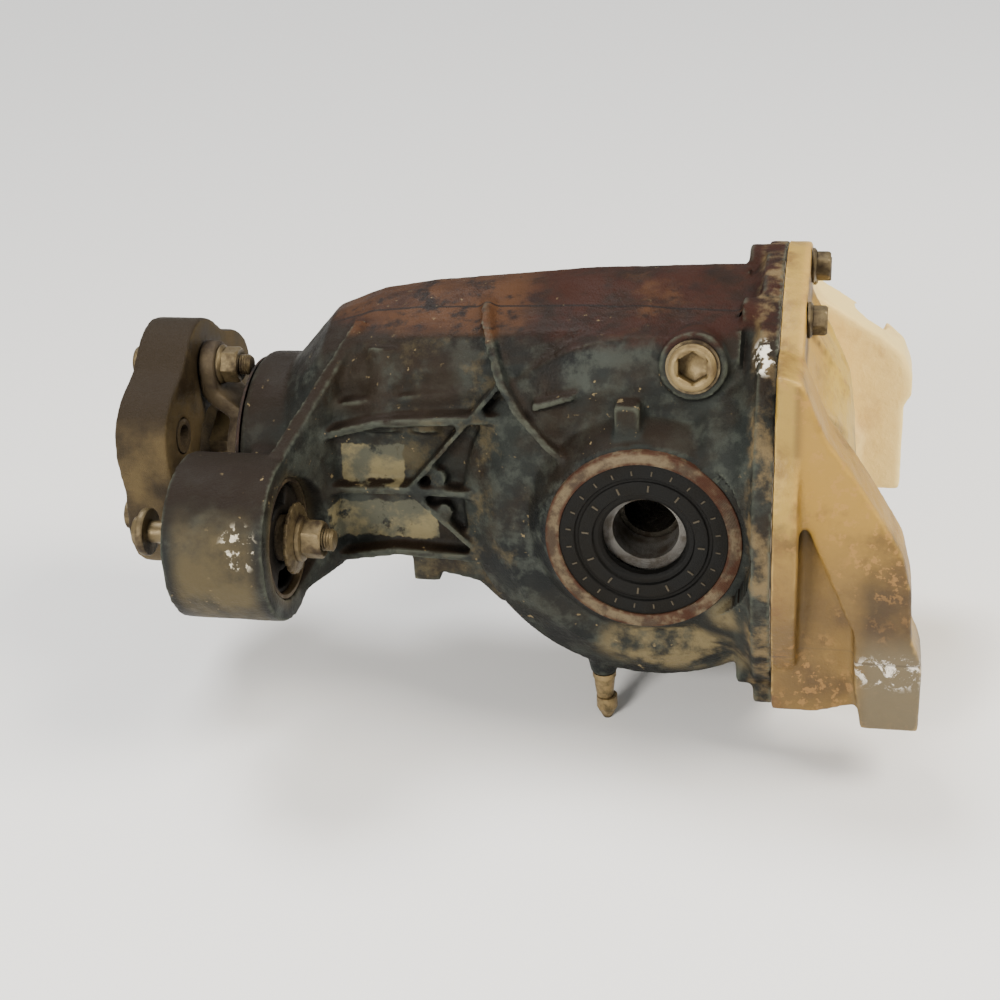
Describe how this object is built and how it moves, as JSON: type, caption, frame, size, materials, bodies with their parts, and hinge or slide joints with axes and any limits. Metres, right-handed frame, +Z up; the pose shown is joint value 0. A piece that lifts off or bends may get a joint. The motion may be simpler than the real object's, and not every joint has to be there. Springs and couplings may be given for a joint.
{
  "type": "differential gear assembly",
  "caption": "Rear axle differential: finned housing with side and nose openings, a rubber front bush, a rubber shaft coupling and a rear cover with mounting arms.",
  "frame": {"origin": "centre of the propshaft bolt circle on the front face of the rubber coupling", "axes": "+X rearwards along the pinion axis, +Y along the axle from the filler plug side to the other side, +Z up as fitted in the vehicle; the two output bores are on Y at X = 0.29"},
  "size_m": [0.4395, 0.2679, 0.2534],
  "materials": {
    "carrier_iron": "rough dark casting",
    "cover_alloy": "weathered casting",
    "zinc_steel": "dulled yellow zinc",
    "seal_rubber": "moulded",
    "coupling_rubber": "dusty moulded",
    "bush_rubber": "moulded",
    "bearing_steel": "ground",
    "gear_steel": "cut and lapped",
    "forged_steel": "as forged",
    "case_iron": "machined casting",
    "spring_steel": "drawn",
    "gasket_sheet": "pressed fibre",
    "breather_metal": "dulled"
  },
  "bodies": {
    "carrier": {"carrier_housing": "carrier_iron", "rear_cover": "cover_alloy", "cover_gasket": "gasket_sheet", "cover_bolts": "zinc_steel", "cover_dowels": "spring_steel", "filler_plug": "zinc_steel", "filler_plug_washer": "zinc_steel", "breather_valve": "breather_metal", "breather_cap": "breather_metal", "side_seal_near": "seal_rubber", "side_seal_far": "seal_rubber", "side_seal_spring_near": "spring_steel", "side_seal_spring_far": "spring_steel", "side_snap_ring_near": "spring_steel", "side_snap_ring_far": "spring_steel", "side_bearing_cup_near": "bearing_steel", "side_bearing_cup_far": "bearing_steel", "pinion_inner_cup": "bearing_steel", "pinion_outer_cup": "bearing_steel", "pinion_seal": "seal_rubber", "front_bush_sleeve": "forged_steel", "front_bush_rubber": "bush_rubber", "front_bush_inner_sleeve": "forged_steel", "front_bush_bolt": "zinc_steel", "front_bush_washer": "zinc_steel", "front_bush_nut": "zinc_steel"},
    "pinion": {"pinion_gear": "gear_steel", "pinion_inner_cone": "bearing_steel", "pinion_outer_cone": "bearing_steel", "crush_sleeve": "spring_steel", "dust_shield": "spring_steel", "pinion_flange": "forged_steel", "pinion_nut": "zinc_steel", "flex_coupling": "coupling_rubber", "coupling_sleeves": "forged_steel", "coupling_bolts": "zinc_steel", "coupling_nuts": "zinc_steel"},
    "case": {"differential_case": "case_iron", "ring_gear": "gear_steel", "ring_gear_bolts": "zinc_steel", "side_bearing_cone_near": "bearing_steel", "side_bearing_cone_far": "bearing_steel", "cross_pin": "bearing_steel", "cross_pin_lock": "spring_steel", "side_gear_washer_near": "bearing_steel", "side_gear_washer_far": "bearing_steel", "planet_washer_upper": "bearing_steel", "planet_washer_lower": "bearing_steel"},
    "side_gear_near": {"side_gear_near": "gear_steel"},
    "side_gear_far": {"side_gear_far": "gear_steel"},
    "planet_upper": {"planet_gear_upper": "gear_steel"},
    "planet_lower": {"planet_gear_lower": "gear_steel"},
    "side_roller_set_near": {"side_rollers_near": "bearing_steel"},
    "side_roller_set_far": {"side_rollers_far": "bearing_steel"},
    "pinion_inner_roller_set": {"pinion_inner_rollers": "bearing_steel"},
    "pinion_outer_roller_set": {"pinion_outer_rollers": "bearing_steel"}
  },
  "joints": [
    {"name": "case_spin", "type": "hinge", "parent": "carrier", "child": "case", "pos_m": [0.29, 0, 0], "axis": [0, 1, 0], "continuous": true},
    {"name": "pinion_spin", "type": "hinge", "parent": "carrier", "child": "pinion", "pos_m": [0.1, 0, 0], "axis": [1, 0, 0], "continuous": true},
    {"name": "side_gear_near_spin", "type": "hinge", "parent": "case", "child": "side_gear_near", "pos_m": [0.29, 0, 0], "axis": [0, 1, 0], "continuous": true},
    {"name": "side_gear_far_spin", "type": "hinge", "parent": "case", "child": "side_gear_far", "pos_m": [0.29, 0, 0], "axis": [0, 1, 0], "continuous": true},
    {"name": "planet_upper_spin", "type": "hinge", "parent": "case", "child": "planet_upper", "pos_m": [0.29, 0, 0], "axis": [0, 0, 1], "continuous": true},
    {"name": "planet_lower_spin", "type": "hinge", "parent": "case", "child": "planet_lower", "pos_m": [0.29, 0, 0], "axis": [0, 0, 1], "continuous": true},
    {"name": "side_rollers_near_spin", "type": "hinge", "parent": "carrier", "child": "side_roller_set_near", "pos_m": [0.29, -0.071, 0], "axis": [0, 1, 0], "continuous": true},
    {"name": "side_rollers_far_spin", "type": "hinge", "parent": "carrier", "child": "side_roller_set_far", "pos_m": [0.29, 0.071, 0], "axis": [0, 1, 0], "continuous": true},
    {"name": "pinion_inner_rollers_spin", "type": "hinge", "parent": "carrier", "child": "pinion_inner_roller_set", "pos_m": [0.1775, 0, 0], "axis": [1, 0, 0], "continuous": true},
    {"name": "pinion_outer_rollers_spin", "type": "hinge", "parent": "carrier", "child": "pinion_outer_roller_set", "pos_m": [0.089, 0, 0], "axis": [1, 0, 0], "continuous": true}
  ],
  "couplings": [
    {"joint": "pinion_spin", "follows": "case_spin", "ratio": -2.9286},
    {"joint": "side_gear_far_spin", "follows": "side_gear_near_spin", "ratio": -1},
    {"joint": "planet_upper_spin", "follows": "side_gear_near_spin", "ratio": 1.6},
    {"joint": "planet_lower_spin", "follows": "side_gear_near_spin", "ratio": -1.6},
    {"joint": "side_rollers_near_spin", "follows": "case_spin", "ratio": 0.4282},
    {"joint": "side_rollers_far_spin", "follows": "case_spin", "ratio": 0.4282},
    {"joint": "pinion_inner_rollers_spin", "follows": "case_spin", "ratio": -1.2138},
    {"joint": "pinion_outer_rollers_spin", "follows": "case_spin", "ratio": -1.1652}
  ]
}
